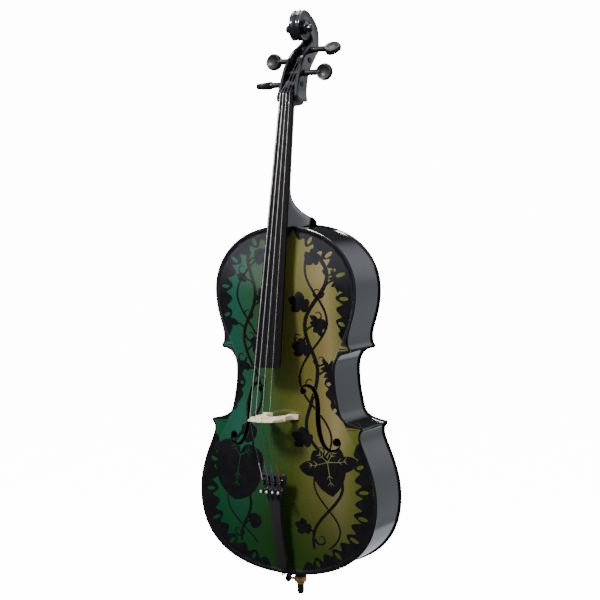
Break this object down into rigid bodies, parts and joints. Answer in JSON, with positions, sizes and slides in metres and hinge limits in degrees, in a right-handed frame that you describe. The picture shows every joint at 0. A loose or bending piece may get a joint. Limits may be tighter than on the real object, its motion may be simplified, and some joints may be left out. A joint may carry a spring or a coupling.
{
  "type": "cello",
  "caption": "Full-size cello with arched plates, f-shaped sound holes, scroll, turning pegs, bridge, screw tuners and a sliding endpin.",
  "frame": {"origin": "bottom centre of the endpin rubber tip, on the endpin axis, with the endpin fully in", "axes": "+Z along the endpin towards the scroll, -Y out of the front, where the strings are, +X to the treble side, right when seen from the front"},
  "size_m": [0.4376, 0.2619, 1.2774],
  "materials": {
    "front_lacquer": "gloss lacquer over a painted green and gold ground with dark vines",
    "black_lacquer": "high-gloss black lacquer",
    "ebony": "polished black ebony",
    "bare_maple": "plain maple, satin",
    "bare_spruce": "unfinished spruce",
    "string_steel": "flat-wound metal ribbon",
    "silk": "wound silk thread, one colour per string",
    "composite": "satin black composite",
    "bright_metal": "polished nickel",
    "dark_metal": "dark satin metal",
    "brass": "polished brass",
    "rod_steel": "satin steel rod",
    "rubber": "matt black rubber",
    "cord_black": "braided black cord"
  },
  "bodies": {
    "cello": {"top_plate": "front_lacquer", "back_plate": "black_lacquer", "rib_upper_bass": "black_lacquer", "rib_upper_treble": "black_lacquer", "rib_waist_bass": "black_lacquer", "rib_waist_treble": "black_lacquer", "rib_lower_bass": "black_lacquer", "rib_lower_treble": "black_lacquer", "lining_front": "bare_spruce", "lining_back": "bare_spruce", "upper_block": "bare_spruce", "lower_block": "bare_spruce", "corner_block_upper_bass": "bare_spruce", "corner_block_upper_treble": "bare_spruce", "corner_block_lower_bass": "bare_spruce", "corner_block_lower_treble": "bare_spruce", "bass_bar": "bare_spruce", "sound_post": "bare_spruce", "neck": "black_lacquer", "fingerboard": "ebony", "nut": "ebony", "saddle": "ebony", "bridge": "bare_maple", "string_c": "string_steel", "string_g": "string_steel", "string_d": "string_steel", "string_a": "string_steel", "string_silks": "silk", "tailpiece": "composite", "tail_cord": "cord_black", "tuner_pins": "bright_metal", "endpin_plug": "ebony", "endpin_collar": "brass"},
    "peg_c": {"peg_c": "ebony", "winding_c": "string_steel"},
    "peg_g": {"peg_g": "ebony", "winding_g": "string_steel"},
    "peg_d": {"peg_d": "ebony", "winding_d": "string_steel"},
    "peg_a": {"peg_a": "ebony", "winding_a": "string_steel"},
    "tuner_screw_c": {"tuner_screw_c": "bright_metal"},
    "tuner_knob_c": {"tuner_knob_c": "dark_metal"},
    "tuner_lever_c": {"tuner_lever_c": "dark_metal"},
    "tuner_screw_g": {"tuner_screw_g": "bright_metal"},
    "tuner_knob_g": {"tuner_knob_g": "dark_metal"},
    "tuner_lever_g": {"tuner_lever_g": "dark_metal"},
    "tuner_screw_d": {"tuner_screw_d": "bright_metal"},
    "tuner_knob_d": {"tuner_knob_d": "dark_metal"},
    "tuner_lever_d": {"tuner_lever_d": "dark_metal"},
    "tuner_screw_a": {"tuner_screw_a": "bright_metal"},
    "tuner_knob_a": {"tuner_knob_a": "dark_metal"},
    "tuner_lever_a": {"tuner_lever_a": "dark_metal"},
    "endpin": {"endpin_rod": "rod_steel"},
    "endpin_tip": {"endpin_tip": "rubber"},
    "endpin_screw": {"endpin_screw": "brass"},
    "endpin_screw_head": {"endpin_screw_head": "ebony"}
  },
  "joints": [
    {"name": "peg_c_turn", "type": "hinge", "parent": "cello", "child": "peg_c", "pos_m": [0, -0.014, 1.1145], "axis": [-1, 0, 0], "continuous": true},
    {"name": "peg_g_turn", "type": "hinge", "parent": "cello", "child": "peg_g", "pos_m": [0, 0.028, 1.1685], "axis": [-1, 0, 0], "continuous": true},
    {"name": "peg_d_turn", "type": "hinge", "parent": "cello", "child": "peg_d", "pos_m": [0, 0.0465, 1.193], "axis": [1, 0, 0], "continuous": true},
    {"name": "peg_a_turn", "type": "hinge", "parent": "cello", "child": "peg_a", "pos_m": [0, 0.003, 1.1395], "axis": [1, 0, 0], "continuous": true},
    {"name": "tuner_c_screw_travel", "type": "slide", "parent": "cello", "child": "tuner_screw_c", "axis": [0, 0.9842, 0.1771], "range_m": [-0.0007, 0.0035]},
    {"name": "tuner_c_turn", "type": "hinge", "parent": "tuner_screw_c", "child": "tuner_knob_c", "pos_m": [-0.021, -0.12455, 0.24987], "axis": [0, 0.9842, 0.1771], "range_deg": [-361, 1801]},
    {"name": "tuner_c_lever_swing", "type": "hinge", "parent": "cello", "child": "tuner_lever_c", "pos_m": [-0.021, -0.11382, 0.27212], "axis": [1, 0, 0], "range_deg": [-2.02, 10.05]},
    {"name": "tuner_g_screw_travel", "type": "slide", "parent": "cello", "child": "tuner_screw_g", "axis": [0, 0.9842, 0.1771], "range_m": [-0.0007, 0.0035]},
    {"name": "tuner_g_turn", "type": "hinge", "parent": "tuner_screw_g", "child": "tuner_knob_g", "pos_m": [-0.007, -0.12455, 0.24987], "axis": [0, 0.9842, 0.1771], "range_deg": [-361, 1801]},
    {"name": "tuner_g_lever_swing", "type": "hinge", "parent": "cello", "child": "tuner_lever_g", "pos_m": [-0.007, -0.11382, 0.27212], "axis": [1, 0, 0], "range_deg": [-2.02, 10.05]},
    {"name": "tuner_d_screw_travel", "type": "slide", "parent": "cello", "child": "tuner_screw_d", "axis": [0, 0.9842, 0.1771], "range_m": [-0.0007, 0.0035]},
    {"name": "tuner_d_turn", "type": "hinge", "parent": "tuner_screw_d", "child": "tuner_knob_d", "pos_m": [0.007, -0.12455, 0.24987], "axis": [0, 0.9842, 0.1771], "range_deg": [-361, 1801]},
    {"name": "tuner_d_lever_swing", "type": "hinge", "parent": "cello", "child": "tuner_lever_d", "pos_m": [0.007, -0.11382, 0.27212], "axis": [1, 0, 0], "range_deg": [-2.02, 10.05]},
    {"name": "tuner_a_screw_travel", "type": "slide", "parent": "cello", "child": "tuner_screw_a", "axis": [0, 0.9842, 0.1771], "range_m": [-0.0007, 0.0035]},
    {"name": "tuner_a_turn", "type": "hinge", "parent": "tuner_screw_a", "child": "tuner_knob_a", "pos_m": [0.021, -0.12455, 0.24987], "axis": [0, 0.9842, 0.1771], "range_deg": [-361, 1801]},
    {"name": "tuner_a_lever_swing", "type": "hinge", "parent": "cello", "child": "tuner_lever_a", "pos_m": [0.021, -0.11382, 0.27212], "axis": [1, 0, 0], "range_deg": [-2.02, 10.05]},
    {"name": "endpin_slide", "type": "slide", "parent": "cello", "child": "endpin", "axis": [0, 0, -1], "range_m": [0, 0.34]},
    {"name": "endpin_tip_pull", "type": "slide", "parent": "endpin", "child": "endpin_tip", "axis": [0, 0, -1], "range_m": [0, 0.03]},
    {"name": "endpin_screw_travel", "type": "slide", "parent": "cello", "child": "endpin_screw", "axis": [-1, 0, 0], "range_m": [0, 0.0015]},
    {"name": "endpin_screw_turn", "type": "hinge", "parent": "endpin_screw", "child": "endpin_screw_head", "pos_m": [-0.03, 0, 0.0325], "axis": [-1, 0, 0], "range_deg": [-1, 541]}
  ],
  "couplings": [
    {"joint": "tuner_c_turn", "follows": "tuner_c_screw_travel", "rad_per_m": 8976},
    {"joint": "tuner_c_lever_swing", "follows": "tuner_c_screw_travel", "rad_per_m": 50},
    {"joint": "tuner_g_turn", "follows": "tuner_g_screw_travel", "rad_per_m": 8976},
    {"joint": "tuner_g_lever_swing", "follows": "tuner_g_screw_travel", "rad_per_m": 50},
    {"joint": "tuner_d_turn", "follows": "tuner_d_screw_travel", "rad_per_m": 8976},
    {"joint": "tuner_d_lever_swing", "follows": "tuner_d_screw_travel", "rad_per_m": 50},
    {"joint": "tuner_a_turn", "follows": "tuner_a_screw_travel", "rad_per_m": 8976},
    {"joint": "tuner_a_lever_swing", "follows": "tuner_a_screw_travel", "rad_per_m": 50},
    {"joint": "endpin_screw_turn", "follows": "endpin_screw_travel", "rad_per_m": 6283.2}
  ]
}
